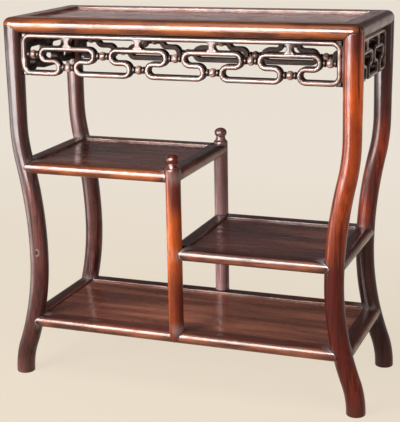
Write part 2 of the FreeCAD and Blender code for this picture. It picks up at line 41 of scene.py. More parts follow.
# Main sizes of the stand, in metres
stand = {
    "height": 0.820,
    "topThickness": 0.032,
    "leftShelfZ": 0.491,     # middles of the shelves' rails
    "rightShelfZ": 0.321,
    "bottomShelfZ": 0.131,
    "legHalfX": 0.3755,      # leg axes above the shoulder
    "legHalfY": 0.144,
    "legRadius": 0.021,
    "setback": 0.0002,       # shelf rails behind the outer face of the legs
    "hairline": 0.0002,      # open line left at every joint
    "seam": 0.0026,          # grime reaches this far from a joint
    "dustReach": 0.032,      # and dust this far
    "dustDepth": 0.2,        # wear mask of dust, as a depth below 0
    "crease": 38,            # degrees past which an edge is shaded sharp
}
outerX = stand["legHalfX"] + stand["legRadius"]
outerY = stand["legHalfY"] + stand["legRadius"]
shelfY = outerY - stand["setback"]
sideWord = {-1: "Left", 1: "Right"}
faceWord = {-1: "Front", 1: "Back"}


# Surfaces as whole arrays

def tube(rings, wear, loop=False):
    # Rings of points skinned in order. Each ring is closed on itself. The run either closes on its
    # own start (loop) or is shut at both ends by a fan round the middle of the end ring. The mask of wear
    # and painted light is one value, or one for each ring, for each point round a ring, or for both.
    count, around = rings.shape[:2]
    index = np.arange(count * around).reshape(count, around)
    a, d = (index, np.roll(index, -1, axis=0)) if loop else (index[:-1], index[1:])
    quads = np.stack([a, np.roll(a, -1, axis=1), np.roll(d, -1, axis=1), d], -1).reshape(-1, 4)
    verts = rings.reshape(-1, 3)
    wornAndPaintedLight = np.broadcast_to(wear, (count, around)).reshape(-1)
    tris = np.zeros((0, 3), int)
    if not loop:
        verts = np.vstack([verts, rings[0].mean(axis=0), rings[-1].mean(axis=0)])
        wornAndPaintedLight = np.append(wornAndPaintedLight, [0, 0])
        first = np.full(around, count * around)
        tris = np.vstack([np.stack([first, np.roll(index[0], -1), index[0]], -1),
                          np.stack([first + 1, index[-1], np.roll(index[-1], -1)], -1)])
    corners = verts[np.vstack([quads[:, :3], quads[:, [0, 2, 3]], tris])]
    volume = np.einsum("ij,ij->", corners[:, 0], np.cross(corners[:, 1], corners[:, 2]))
    if volume < 0:                                   # turned inside out, so every face is reversed
        quads, tris = quads[:, ::-1], tris[:, ::-1]
    return {"verts": verts, "quads": quads, "tris": tris, "wear": wornAndPaintedLight}


def nodeName(name):
    # The piece topFrontRail stands for the CAD node top_front_rail
    return "".join("_" + letter.lower() if letter.isupper() else letter for letter in name)


def makePiece(name, shells, finish):
    # Joins closed shells into one mesh with its mask of wear and painted light, and puts it in place of
    # its CAD node
    node = nodeName(name)
    starts = np.cumsum([0] + [len(s["verts"]) for s in shells])
    verts = np.vstack([s["verts"] for s in shells])
    quads = np.vstack([s["quads"] + start for s, start in zip(shells, starts)])
    tris = np.vstack([s["tris"] + start for s, start in zip(shells, starts)])
    mesh = bpy.data.meshes.new(name)
    mesh.from_pydata(verts.tolist(), [], quads.tolist() + tris.tolist())
    wornAndPaintedLight = mesh.attributes.new("wear", "FLOAT", "POINT")
    wornAndPaintedLight.data.foreach_set("value", np.concatenate([s["wear"] for s in shells]).astype(np.float32))
    mesh.shade_smooth()
    mesh.set_sharp_from_angle(angle=math.radians(stand["crease"]))
    mesh.materials.append(finish)
    piece = bpy.data.objects.new(name, mesh)
    bpy.context.scene.collection.objects.link(piece)
    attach(piece, "root")
    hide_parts(node)


# Finishes: polished rosewood, made of shared node groups

socketKind = {"colour": "NodeSocketColor", "number": "NodeSocketFloat", "vector": "NodeSocketVector"}


def newGroup(name, inputs, outputs):
    # Sockets are given as label and kind
    group = bpy.data.node_groups.new(name, "ShaderNodeTree")
    for way, sockets in (("INPUT", inputs), ("OUTPUT", outputs)):
        for label, kind in sockets.items():
            group.interface.new_socket(label, in_out=way, socket_type=socketKind[kind])
    return group, group.nodes.new("NodeGroupInput"), group.nodes.new("NodeGroupOutput")


def feed(tree, node, terms):
    # Gives each socket, by its label or number, a link from another socket or a value
    for label, term in terms.items():
        if isinstance(term, bpy.types.NodeSocket):
            tree.links.new(term, node.inputs[label])
        else:
            node.inputs[label].default_value = term


def addNode(tree, kind, terms, **settings):
    node = tree.nodes.new(kind)
    for key, value in settings.items():
        setattr(node, key, value)
    feed(tree, node, terms)
    return node


def math2(tree, operation, first, second):
    # One arithmetic step; each term is a socket or a number
    return addNode(tree, "ShaderNodeMath", {0: first, 1: second}, operation=operation).outputs[0]


def ramp(tree, value, low, high):
    # Smooth step from 0 at low to 1 at high
    node = addNode(tree, "ShaderNodeMapRange", {"Value": value, "From Min": low, "From Max": high},
                   interpolation_type="SMOOTHSTEP")
    return node.outputs["Result"]


def blendColour(tree, factor, first, second):
    # Sockets 6 and 7 of a Mix node, and its output 2, are its colours
    return addNode(tree, "ShaderNodeMix", {0: factor, 6: first, 7: second}, data_type="RGBA").outputs[2]


def streaks(tree, vector, stretch, detail, roughness):
    # Noise drawn out along z, which is the run of the grain
    drawn = addNode(tree, "ShaderNodeVectorMath", {0: vector, 1: stretch}, operation="MULTIPLY").outputs[0]
    noise = addNode(tree, "ShaderNodeTexNoise", {"Vector": drawn, "Scale": 1, "Detail": detail,
                                                 "Roughness": roughness})
    return noise.outputs[0]


grainLook = {
    "sway": ((9, 9, 4), 1, 0.55),            # noise: stretch across and along the grain, detail, roughness
    "drift": ((16, 16, 1.8), 2, 0.55),
    "figure": ((95, 95, 2.4), 3, 0.6),
    "fine": ((430, 430, 9), 2, 0.55),
    "pores": ((1500, 1500, 55), 1, 0.55),
    "patina": ((50, 50, 22), 5, 0.72),
    "swayReach": (0.02, 0.02, 0),
    "driftBand": (0.40, 0.61),               # noise at which each effect starts and where it is full
    "figureBand": (0.5, 0.61),
    "fineBand": (0.4, 0.75),
    "poreBand": (0.6, 0.74),
    "patinaBand": (0.45, 0.68),
    "fineShare": 0.5,                        # how far each one darkens the wood
    "poreShare": 0.45,
    "patinaShare": 0.45,
    "patinaBare": 0.6,                       # part of the lacquer that is gone
    "patinaLevel": 0.4,                      # patina at which the polish stays as it is
    "patinaDull": 0.1,
    "poreDull": 0.12,
    "fineRelief": 0.5,
}


def rosewoodGrain():
    # Colour, gloss and relief of straight-grained rosewood: a slow drift between two tones, dark figure
    # lines, fine streaks, short open pores and patches of patina from handling and wax
    look = grainLook
    tree, source, target = newGroup(
        "rosewoodGrain",
        {"Vector": "vector", "Deep": "colour", "Warm": "colour", "Line": "colour", "Warmth": "number",
         "Figure": "number", "Polish": "number", "Coat": "number"},
        {"Color": "colour", "Roughness": "number", "Coat Weight": "number", "Height": "number"})
    vector, deep, line = (source.outputs[label] for label in ("Vector", "Deep", "Line"))
    sway = streaks(tree, vector, *look["sway"])
    along = addNode(tree, "ShaderNodeVectorMath", {0: sway, 1: look["swayReach"], 2: vector},
                    operation="MULTIPLY_ADD").outputs[0]
    drift, figure, fine, pores = (streaks(tree, along, *look[key])
                                  for key in ("drift", "figure", "fine", "pores"))
    tone = math2(tree, "ADD", ramp(tree, drift, *look["driftBand"]), source.outputs["Warmth"])
    share = addNode(tree, "ShaderNodeClamp", {0: tone}).outputs[0]
    body = blendColour(tree, share, deep, source.outputs["Warm"])
    lines = math2(tree, "MULTIPLY", ramp(tree, figure, *look["figureBand"]), source.outputs["Figure"])
    lined = blendColour(tree, lines, body, line)
    threads = math2(tree, "MULTIPLY", ramp(tree, fine, *look["fineBand"]), look["fineShare"])
    threaded = blendColour(tree, threads, lined, line)
    pitted = ramp(tree, pores, *look["poreBand"])
    pored = blendColour(tree, math2(tree, "MULTIPLY", pitted, look["poreShare"]), threaded, line)
    patina = ramp(tree, streaks(tree, vector, *look["patina"]), *look["patinaBand"])
    aged = blendColour(tree, math2(tree, "MULTIPLY", patina, look["patinaShare"]), pored, deep)
    coated = math2(tree, "SUBTRACT", 1, math2(tree, "MULTIPLY", patina, look["patinaBare"]))
    patchy = math2(tree, "SUBTRACT", patina, look["patinaLevel"])
    uneven = math2(tree, "MULTIPLY", patchy, look["patinaDull"])
    dull = math2(tree, "ADD", uneven, math2(tree, "MULTIPLY", pitted, look["poreDull"]))
    feed(tree, target, {
        "Color": aged,
        "Coat Weight": math2(tree, "MULTIPLY", source.outputs["Coat"], coated),
        "Roughness": math2(tree, "ADD", dull, source.outputs["Polish"]),
        "Height": math2(tree, "SUBTRACT", math2(tree, "MULTIPLY", fine, look["fineRelief"]), pitted),
    })
    return tree


wearAndLightLook = {
    "patches": ((50, 50, 11), 3, 0.55),      # noise that breaks up the wear, the painted highlight and the dust
    "patchBand": (0.36, 0.62),
    "smoothing": 0.08,                       # roughness that rubbing takes away
    "dust": (0.40, 0.35, 0.34),
    "dustStart": (0.02, 0.2),                # depth of the mask at which dust starts and where it is full
    "dustEnd": (0.25, 0.5),                  # and where it gives way to grime and painted shade
    "dustShare": 0.6,
    # dark wax in the joints, and painted shade on the aprons' edges, collars and corner margins
    "grimeAndShade": (0.012, 0.006, 0.005),
    "grimeAndShadeBand": (0.25, 0.75),
    "grimeAndShadeShare": 0.9,
    "grimeAndShadeBare": 1.6,                        # lacquer goes faster than the colour under it
    "grimeAndShadeDull": 0.3,
}


def edgeWearAndPaintedLight():
    # One mask: above 0, edges that hands and dusters have rubbed paler and smoother, with painted
    # highlight on rail noses, beads and the aprons' raised lines, broken up by noise;
    # a little below 0, pale dust round the joints; deeper, wax gathered dark in joints and corners, and
    # painted shade on the aprons' edges, collars and corner margins
    look = wearAndLightLook
    tree, source, target = newGroup(
        "edgeWearAndPaintedLight",
        {"Color": "colour", "Roughness": "number", "Mask": "number", "Vector": "vector", "Worn": "colour",
         "GrimeAndShade": "colour", "Amount": "number", "Coat": "number", "Uneven": "number", "Dust": "colour"},
        {"Color": "colour", "Roughness": "number", "Coat Weight": "number"})
    patches = ramp(tree, streaks(tree, source.outputs["Vector"], *look["patches"]), *look["patchBand"])
    above = math2(tree, "MAXIMUM", source.outputs["Mask"], 0)
    depth = math2(tree, "MULTIPLY", math2(tree, "MINIMUM", source.outputs["Mask"], 0), -1)
    below = math2(tree, "MULTIPLY", ramp(tree, depth, *look["grimeAndShadeBand"]), look["grimeAndShadeShare"])
    started, ended = (ramp(tree, depth, *look[key]) for key in ("dustStart", "dustEnd"))
    settled = math2(tree, "SUBTRACT", started, ended)
    paleSheen = math2(tree, "MULTIPLY", math2(tree, "MULTIPLY", settled, patches), look["dustShare"])
    spared = math2(tree, "MULTIPLY", math2(tree, "SUBTRACT", 1, patches), source.outputs["Uneven"])
    broken = math2(tree, "SUBTRACT", 1, spared)
    rubbed = math2(tree, "MULTIPLY", math2(tree, "MULTIPLY", above, source.outputs["Amount"]), broken)
    paler = blendColour(tree, rubbed, source.outputs["Color"], source.outputs["Worn"])
    dusted = blendColour(tree, paleSheen, paler, source.outputs["Dust"])
    covered = math2(tree, "MINIMUM", math2(tree, "MULTIPLY", below, look["grimeAndShadeBare"]), 1)
    coated = math2(tree, "SUBTRACT", 1, covered)
    smoother = math2(tree, "MULTIPLY", rubbed, -look["smoothing"])
    duller = math2(tree, "ADD", smoother, math2(tree, "MULTIPLY", below, look["grimeAndShadeDull"]))
    feed(tree, target, {
        "Color": blendColour(tree, below, dusted, source.outputs["GrimeAndShade"]),
        "Coat Weight": math2(tree, "MULTIPLY", source.outputs["Coat"], coated),
        "Roughness": math2(tree, "ADD", source.outputs["Roughness"], duller),
    })
    return tree


grainGroup = rosewoodGrain()
wearAndLightGroup = edgeWearAndPaintedLight()

woodTones = {                # deep tone, warm tone, figure line and rubbed edges of each kind of piece; the rubbed tone also paints highlight on rail noses, beads and the aprons' raised lines
    "plain": [(0.040, 0.011, 0.010), (0.165, 0.052, 0.045), (0.014, 0.005, 0.005), (0.18, 0.085, 0.076)],
    # paleSheen: pale mauve tone for the back post, a painted sheen of the front light on it
    "paleSheen": [(0.21, 0.102, 0.100), (0.50, 0.270, 0.265), (0.090, 0.042, 0.040), (0.16, 0.060, 0.045)],
    "ember": [(0.055, 0.012, 0.007), (0.19, 0.048, 0.019), (0.018, 0.006, 0.004), (0.44, 0.120, 0.034)],
    "umber": [(0.050, 0.013, 0.010), (0.15, 0.039, 0.024), (0.016, 0.006, 0.005), (0.31, 0.105, 0.055)],
    "cherry": [(0.105, 0.009, 0.005), (0.72, 0.108, 0.010), (0.035, 0.005, 0.003), (0.11, 0.040, 0.032)],
    "dusk": [(0.052, 0.013, 0.013), (0.32, 0.038, 0.012), (0.012, 0.004, 0.004), (0.11, 0.045, 0.036)],
    "amber": [(0.115, 0.013, 0.006), (0.80, 0.145, 0.014), (0.095, 0.015, 0.005), (0.075, 0.020, 0.014)],
    "panel": [(0.15, 0.052, 0.044), (0.36, 0.130, 0.100), (0.052, 0.019, 0.016), (0.24, 0.10, 0.08)],
    "topPanel": [(0.17, 0.055, 0.045), (0.48, 0.160, 0.110), (0.055, 0.019, 0.016), (0.50, 0.20, 0.14)],
    # floorPanel: lighter than the other panels, painted light for the stronger light on the bottom shelf
    "floorPanel": [(0.25, 0.078, 0.050), (0.62, 0.220, 0.130), (0.140, 0.046, 0.030), (0.60, 0.26, 0.17)],
    # carved: dark partly as painted shade under the top; its pale rubbed tone is wear and painted
    # highlight on the raised lines
    "carved": [(0.012, 0.004, 0.0035), (0.045, 0.013, 0.010), (0.006, 0.003, 0.002), (0.55, 0.34, 0.28)],
    "batten": [(0.05, 0.020, 0.014), (0.13, 0.050, 0.030), (0.020, 0.010, 0.008), (0.16, 0.07, 0.05)],
}
lacquer = {"ior": 1.17, "tint": (1, 0.82, 0.74), "coatIor": 1.4, "bump": 0.05, "pore": 0.0006}
grainTurn = {"X": (0, -math.pi / 2, 0), "Y": (math.pi / 2, 0, 0), "Z": (0, 0, 0)}    # lays grain along z


def heightWarmth(tree, height, stops):
    # Warmth read at a height between stops of (height, warmth), as a ramp of greys about one half
    share = math2(tree, "DIVIDE", height, stand["height"])
    band = addNode(tree, "ShaderNodeValToRGB", {0: share})
    marks = band.color_ramp.elements
    for k, (z, warmth) in enumerate(stops):
        mark = marks[0] if k == 0 else marks[-1] if k == len(stops) - 1 else marks.new(z / stand["height"])
        mark.position = z / stand["height"]
        mark.color = (*[(warmth + 1) / 2] * 3, 1)
    return math2(tree, "MULTIPLY", math2(tree, "SUBTRACT", band.outputs["Color"], 0.5), 2)


def woodFinish(name, tone, grain, shift, warmth=0.0, figure=0.5, polish=0.36, coat=0.48, gloss=0.13,
               wear=0.4, uneven=0.65):
    # One piece's own board: the shared grain turned along its length and moved to a fresh place
    finish = bpy.data.materials.new(name)
    finish.use_nodes = True
    tree = finish.node_tree
    place = addNode(tree, "ShaderNodeTexCoord", {}).outputs["Object"]
    board = addNode(tree, "ShaderNodeMapping", {
        "Vector": place, "Rotation": grainTurn[grain], "Location": tuple(shift)}).outputs["Vector"]
    if isinstance(warmth, list):
        height = addNode(tree, "ShaderNodeSeparateXYZ", {0: place}).outputs["Z"]
        warmth = heightWarmth(tree, height, warmth)
    deep, warm, line, wornAndPaintedLight = ((*shade, 1) for shade in woodTones[tone])
    wood = addNode(tree, "ShaderNodeGroup", {
        "Vector": board, "Deep": deep, "Warm": warm, "Line": line, "Warmth": warmth, "Figure": figure,
        "Polish": polish, "Coat": coat}, node_tree=grainGroup).outputs
    mask = addNode(tree, "ShaderNodeAttribute", {}, attribute_name="wear").outputs["Fac"]
    rubbed = addNode(tree, "ShaderNodeGroup", {
        "Color": wood["Color"], "Roughness": wood["Roughness"], "Coat": wood["Coat Weight"], "Mask": mask,
        "Vector": board, "Worn": wornAndPaintedLight, "Amount": wear, "Uneven": uneven,
        "Dust": (*wearAndLightLook["dust"], 1), "GrimeAndShade": (*wearAndLightLook["grimeAndShade"], 1)}, node_tree=wearAndLightGroup).outputs
    relief = addNode(tree, "ShaderNodeBump", {
        "Height": wood["Height"], "Strength": lacquer["bump"], "Distance": lacquer["pore"]})
    feed(tree, tree.nodes["Principled BSDF"], {
        "Base Color": rubbed["Color"], "Roughness": rubbed["Roughness"], "IOR": lacquer["ior"],
        "Specular Tint": (*lacquer["tint"], 1), "Normal": relief.outputs["Normal"],
        "Coat Weight": rubbed["Coat Weight"], "Coat Roughness": gloss, "Coat IOR": lacquer["coatIor"]})
    return finish


print("finishes ready")

# Legs
legShape = {
    "stations": (0.590, 0.500, 0.290, 0.072, 0.0),   # heights where the curve changes side
    "waistInset": 0.0335,
    "ankleSpread": 0.0384,
    "footSpread": 0.0120,
    "footRounding": 0.003,
    "slimHeight": 0.590,     # slightly slimmer at the shoulder
    "slimReach": 0.10,
    "slimShare": 0.06,
    "mitreStart": 0.770,     # plain tube below this, mitred above
    "headShares": (0.3, 0.6, 0.93, 1),       # last rows, on their way up to the head
    "skin": 0.00015,         # kept inside the solid
    "soleRows": 6,
    "rows": 200,
    "around": 64,
    "scuffReach": 0.05,      # feet are scuffed up to this height
    "dustReach": 0.020,      # dust on the inner side, above and below each shelf
    "dustSpread": 0.8,       # the more, the further it goes round the leg
    "shelfHeights": {-1: (stand["bottomShelfZ"], stand["leftShelfZ"]),
                     1: (stand["bottomShelfZ"], stand["rightShelfZ"])},
    "knots": {(-1, -1): [(math.radians(102), 0.297, 0.0042, 0.0056)]},   # angle, height, width and length
    "figure": 0.75,
    "wear": 0.5,
    "grainPlace": (1.3, 2.1, 0.4),
}


def legAxis(z):
    # Arcs end to end: between two stations the sine of the lean changes evenly with height, so the
    # axis moves out by the arc's radius times the change in the cosine of the lean
    top, upper, waist, lower, floor = legShape["stations"]
    upperLean = 2 * math.atan(legShape["waistInset"] / (top - waist))
    lowerLean = 2 * math.atan(legShape["ankleSpread"] / (waist - lower))
    footLean = 2 * math.atan(legShape["footSpread"] / lower) - lowerLean
    heights = np.array(legShape["stations"])
    leans = np.array([0, -upperLean, 0, lowerLean, footLean])
    waistX = stand["legHalfX"] - legShape["waistInset"]
    ankleX = waistX + legShape["ankleSpread"]
    upperX = stand["legHalfX"] - (top - upper) * math.tan(upperLean / 2)
    stationX = np.array([stand["legHalfX"], upperX, waistX, ankleX, ankleX + legShape["footSpread"]])
    sines = np.sin(leans)
    radius = (heights[:-1] - heights[1:]) / (sines[1:] - sines[:-1])
    k = np.clip(np.searchsorted(-heights, -z, side="right") - 1, 0, len(heights) - 2)
    sine = np.interp(z, heights[::-1], sines[::-1])
    cosine = np.sqrt(1 - sine ** 2)
    return stationX[k] + radius[k] * (np.cos(leans[k]) - cosine), cosine


def legRadius(z):
    # Even, with one shallow hollow under the shoulder
    hollow = np.exp(-((z - legShape["slimHeight"]) / legShape["slimReach"]) ** 2)
    return stand["legRadius"] * (1 - legShape["slimShare"] * hollow)


def legRings(sideX, sideY):
    # Level ellipses stacked on the leg's curved axis: the radius is eased at the sole, and the last
    # rows climb to the head, whose height at each angle is the lowest of two slopes and half the rail
    angle = np.linspace(0, 2 * math.pi, legShape["around"], endpoint=False)
    easing = legShape["footRounding"]
    turn = np.linspace(0, math.pi / 2, legShape["soleRows"])
    low = easing * (1 - np.cos(turn))
    plain = np.linspace(easing, legShape["mitreStart"], legShape["rows"])[1:]
    underside = stand["height"] - stand["topThickness"]
    slope = np.minimum(np.minimum(1 + np.cos(angle), 1 + np.sin(angle)) / 2, 0.5)
    end = underside + stand["topThickness"] * slope - stand["hairline"]
    climb = np.array(legShape["headShares"])[:, None]
    z = np.vstack([np.repeat(np.append(low, plain)[:, None], len(angle), axis=1),
                   legShape["mitreStart"] + climb * (end - legShape["mitreStart"])])
    cut = np.zeros(len(z))
    cut[:len(turn)] = easing * (1 - np.sin(turn))
    axis, cosine = legAxis(z)
    radius = legRadius(z) - cut[:, None] - legShape["skin"]
    x = sideX * (axis + radius / cosine * np.cos(angle))
    y = sideY * (stand["legHalfY"] + radius * np.sin(angle))
    scuffed = np.clip(1 - z / legShape["scuffReach"], 0, 1)
    inner = np.clip(legShape["dustSpread"] - np.cos(angle) - np.sin(angle), 0, 1)
    for shelfZ in legShape["shelfHeights"][sideX]:
        near = np.exp(-((z - shelfZ) / legShape["dustReach"]) ** 2)
        scuffed = scuffed - stand["dustDepth"] * inner * near
    scuffed[-1] = -1
    for spotAngle, spotZ, wide, tall in legShape["knots"].get((sideX, sideY), []):
        across = stand["legRadius"] * (np.mod(angle - spotAngle + math.pi, 2 * math.pi) - math.pi)
        scuffed = scuffed - np.exp(-(across / wide) ** 2 - ((z - spotZ) / tall) ** 2)
    return np.stack([x, y, z], -1), np.clip(scuffed, -1, 1)


legTones = {                 # tone, and its warmth or (height, warmth) stops
    (-1, -1): ("plain", [(0, 0.2), (0.3, 0.45), (0.45, 0.15), (0.6, -0.2), (0.8, -0.3)]),
    (1, -1): ("cherry", [(0, -1), (0.2, -0.7), (0.34, 0.15), (0.45, 0.45), (0.66, 0.4), (0.73, 0),
                         (0.79, -0.7)]),
    (-1, 1): ("plain", 0.1),
    (1, 1): ("dusk", [(0, -1), (0.28, -0.9), (0.36, 0.05), (0.52, 0.1), (0.6, -0.8), (0.8, -1)]),
}
for (sideX, sideY), (tone, warmth) in legTones.items():
    name = "leg" + faceWord[sideY] + sideWord[sideX]
    shift = np.multiply(legShape["grainPlace"], (sideX, sideY, sideX))
    finish = woodFinish(name + "Wood", tone, "Z", shift, warmth, legShape["figure"], wear=legShape["wear"])
    rings, scuffed = legRings(sideX, sideY)
    makePiece(name, [tube(rings, scuffed)], finish)
print("legs made")

# Rails of the top and the shelves
panelFit = {"thickness": 0.010, "tongue": 0.007, "step": 0.002, "play": 0.0002}
topFrame = {
    "z": stand["height"] - stand["topThickness"] / 2,
    "thickness": stand["topThickness"],
    "width": 0.046,
    "sink": 0.005,
    "lip": 0.002,
    "turnSteps": 8,
    "lead": 0.012,           # last stretch of an end that goes straight
    "slack": 0.000001,       # a point this little below the middle is in the upper half
}
shelfFrame = {"thickness": 0.0265, "width": 0.038, "sink": 0.0045, "lip": 0.002}
railLook = {
    "noseRows": 29,
    "rimRows": 7,
    "easeShare": 1 / 3,      # lesser edges, as part of the lip
    "rimWear": 0.8,
    "gloss": 0.19,
    "wear": 0.95,
    "uneven": 0.85,
}
railBoards = {               # run of the grain, warmth and place in the grain
    "topLong": {"grain": "X", "warmth": 0.0, "place": (0.3, 0.7, 1.1)},
    "topShort": {"grain": "Y", "warmth": 0.05, "place": (1.7, 0.4, 2.3)},
    "shelfLong": {"grain": "X", "warmth": 0.0, "place": (0.9, 3, 0.5)},
    "shelfShort": {"grain": "Y", "warmth": -0.1, "place": (2.2, 0.8, 5)},
}
postShape = {
    "x": -0.008,
    "radius": 0.0165,
    "halfY": 0.15225,
    "railTop": 0.14425,      # top of the bottom rails, which the foot stands on
    "tip": 0.122,            # lowest point of the scribed foot
    "plainFrom": 0.160,
    "shoulder": 0.50625,
    "ledgeZ": 0.51075,       # top of the rounded shoulder, where the hollow neck starts
    "neckTop": 0.52125,
    "ballTop": 0.53925,
    "crown": 0.54075,
    "ledge": 0.0135,
    "neck": 0.0105,
    "neckHollow": 0.0008,
    "ball": 0.0145,
    "ballMiddle": 0.46,      # height of the widest place as a part of the ball's
    "cap": 0.0075,
    "around": 48,
    "rows": 60,
    "footShares": (0, 0.05, 0.35, 0.7, 1),   # first rows, on their way up from the scribed foot
    "turnRows": 9,           # on the shoulder, the neck and the dome
    "ballRows": 21,
    "domeShare": 0.98,       # the dome stops this near its middle
    "dustHeights": (0.150, stand["rightShelfZ"], stand["leftShelfZ"]),   # above the foot, at both shelves
    "dustDepth": 0.11,
    "rubReach": 0.01,        # rubbed more and more from the neck up
    "grooveWear": -0.8,
    "figure": 0.6,
    "grainPlace": (0.6, 4.1, 0.9),
}
shelves = {                  # height, what holds each end, and the tone of the front rail
    "bottomShelf": {"z": stand["bottomShelfZ"], "left": "leg", "right": "leg", "front": "umber"},
    "leftShelf": {"z": stand["leftShelfZ"], "left": "leg", "right": "post", "front": "ember"},
    "rightShelf": {"z": stand["rightShelfZ"], "left": "post", "right": "leg", "front": "umber"},
}


def railProfile(size):
    # Closed outline as distance in from the outer edge and height about the middle: half-round nose,
    # flat underside, grooved inner face and a rounded inner lip
    half, width, lip = size["thickness"] / 2, size["width"], size["lip"]
    angle = np.linspace(math.pi / 2, -math.pi / 2, railLook["noseRows"])
    nose = np.stack([half - half * np.cos(angle), half * np.sin(angle)], -1)
    grooveTop = half - size["sink"] - panelFit["step"] + panelFit["play"]
    grooveLow = half - size["sink"] - panelFit["thickness"] - panelFit["play"]
    deep = width - panelFit["tongue"] - panelFit["play"]
    ease = lip * railLook["easeShare"]
    under = [(half + ease, -half), (width - 2 * ease, -half), (width - ease, -half), (width, ease - half),
             (width, 2 * ease - half), (width, grooveLow), (deep, grooveLow), (deep, grooveTop),
             (width, grooveTop)]
    bend = np.linspace(0, math.pi / 2, railLook["rimRows"])
    rim = np.stack([width - lip + lip * np.cos(bend), half - lip + lip * np.sin(bend)], -1)
    over = [(width - lip - ease, half), (half + ease, half)]
    outline = np.vstack([nose, under, rim, over])
    nosed = np.zeros(len(outline))
    nosed[:len(nose)] = np.cos(angle) ** 2           # paler along its front: rubbed, and painted light on the lit nose
    nosed[len(nose) + len(under):-len(over)] = railLook["rimWear"]
    return outline[:, 0], outline[:, 1], nosed


def railRings(inward, rise, z, outer, sign, low, high, across):
    # The outline carried straight from its low end to its high end, each point with its own ends, with
    # two more rings near each end, where grime and dust have gathered in the joint
    seam, dust = stand["seam"], stand["dustReach"]
    run = np.stack([low, low + seam, low + dust, high - dust, high - seam, high])
    side = np.broadcast_to(sign * (outer - inward), run.shape)
    level = np.broadcast_to(z + rise, run.shape)
    return np.stack([side, run, level] if across else [run, side, level], -1)


def topRings(inward, rise, middle):
    # End of a top rail in rings. The upper half outside the leg's axis swings about that axis by half a
    # right angle, so the edge runs round the corner. The rest goes straight to its end: the mitre with
    # the next rail, or below half height the slope over the head of the leg, whichever comes first.
    radius = stand["legRadius"]
    out = radius - inward
    climb = rise / topFrame["thickness"] + 0.5
    carried = (out > 0) & (rise > -topFrame["slack"])
    mitre = np.where(out > 0, radius, out)
    slope = np.where(carried | (climb >= 0.5), radius, 2 * radius * climb - radius)
    stop = np.minimum(mitre, slope)
    share = np.linspace(0, 1, topFrame["turnSteps"] + 1)[:, None]
    swing = share * (math.pi / 4 - stand["hairline"] / radius)
    straight = stop - stand["hairline"] - topFrame["lead"] * (1 - share)
    along = middle + np.where(carried, out * np.sin(swing), straight)
    reach = np.where(carried, out * np.cos(swing), out)
    return np.vstack([-along[::-1], along]), np.vstack([reach[::-1], reach])


def scribedEnd(offset, inward, axis, outerEnd, radius):
    # Hollowed to fit a round leg or post and mitred to the next rail behind it
    hollow = axis - np.sqrt(np.clip((radius + stand["hairline"]) ** 2 - offset ** 2, 0, None))
    return np.minimum(hollow, outerEnd - inward - stand["hairline"] / 2)


def makeRail(name, rings, nosed, tone, kind, sign, z=1):
    # Each rail is its own board: its place in the grain follows its side and its height
    board = railBoards[kind]
    shift = np.multiply(board["place"], (sign, z, 1) if board["grain"] == "X" else (1, sign, z))
    wornAndPaintedLight = np.repeat(nosed[None, :], len(rings), axis=0)
    wornAndPaintedLight[[0, -1]] = -1
    wornAndPaintedLight[[1, -2]] = -stand["dustDepth"]
    finish = woodFinish(name + "Wood", tone, board["grain"], shift, board["warmth"],
                        gloss=railLook["gloss"], wear=railLook["wear"], uneven=railLook["uneven"])
    makePiece(name, [tube(rings, wornAndPaintedLight)], finish)


inward, rise, nosed = railProfile(topFrame)
for sign in (-1, 1):
    run, reach = topRings(inward, rise, stand["legHalfX"])
    level = np.broadcast_to(topFrame["z"] + rise, run.shape)
    rings = np.stack([run, sign * (stand["legHalfY"] + reach), level], -1)
    tone = "ember" if sign < 0 else "umber"
    makeRail("top%sRail" % faceWord[sign], rings, nosed, tone, "topLong", sign)
    run, reach = topRings(inward, rise, stand["legHalfY"])
    rings = np.stack([sign * (stand["legHalfX"] + reach), run, level], -1)
    makeRail("top%sRail" % sideWord[sign], rings, nosed, "plain", "topShort", sign)

inward, rise, nosed = railProfile(shelfFrame)
for shelfName, shelf in shelves.items():
    z = shelf["z"]
    ends = {}
    for sideX, holder in ((-1, shelf["left"]), (1, shelf["right"])):
        if holder == "leg":
            axis, cosine = legAxis(z + rise)
            middle = float(legAxis(np.array([z]))[0][0])
            ends[sideX] = {"axis": sideX * axis,
                           "outer": sideX * middle + sideX * (stand["legRadius"] - stand["setback"]),
                           "radius": legRadius(z + rise) / cosine, "y": stand["legHalfY"]}
        else:
            ends[sideX] = {"axis": np.full(len(rise), postShape["x"]),
                           "outer": postShape["x"] + sideX * (postShape["radius"] - stand["setback"]),
                           "radius": postShape["radius"], "y": postShape["halfY"]}
    for sign in (-1, 1):
        stops = {}
        for sideX, end in ends.items():
            offset = shelfY - inward - end["y"]
            stops[sideX] = sideX * scribedEnd(offset, inward, sideX * end["axis"], sideX * end["outer"],
                                              end["radius"])
        rings = railRings(inward, rise, z, shelfY, sign, stops[-1], stops[1], False)
        tone = shelf["front"] if sign < 0 else "umber"
        makeRail(shelfName + faceWord[sign] + "Rail", rings, nosed, tone, "shelfLong", sign, z)
        end = ends[sign]
        offset = sign * end["outer"] - inward - sign * end["axis"]
        stop = scribedEnd(offset, inward, end["y"], shelfY, end["radius"])
        rings = railRings(inward, rise, z, sign * end["outer"], sign, -stop, stop, True)
        makeRail(shelfName + sideWord[sign] + "Rail", rings, nosed, "umber", "shelfShort", sign, z)
print("rails made")


# Posts with their finials

def circleThrough(a, b, c):
    # Middle and radius of the circle through three points, from the two equal-distance lines
    rows = np.array([np.subtract(b, a), np.subtract(c, a)])
    centre = np.linalg.solve(2 * rows, [np.dot(b, b) - np.dot(a, a), np.dot(c, c) - np.dot(a, a)])
    return centre, np.linalg.norm(np.subtract(a, centre))


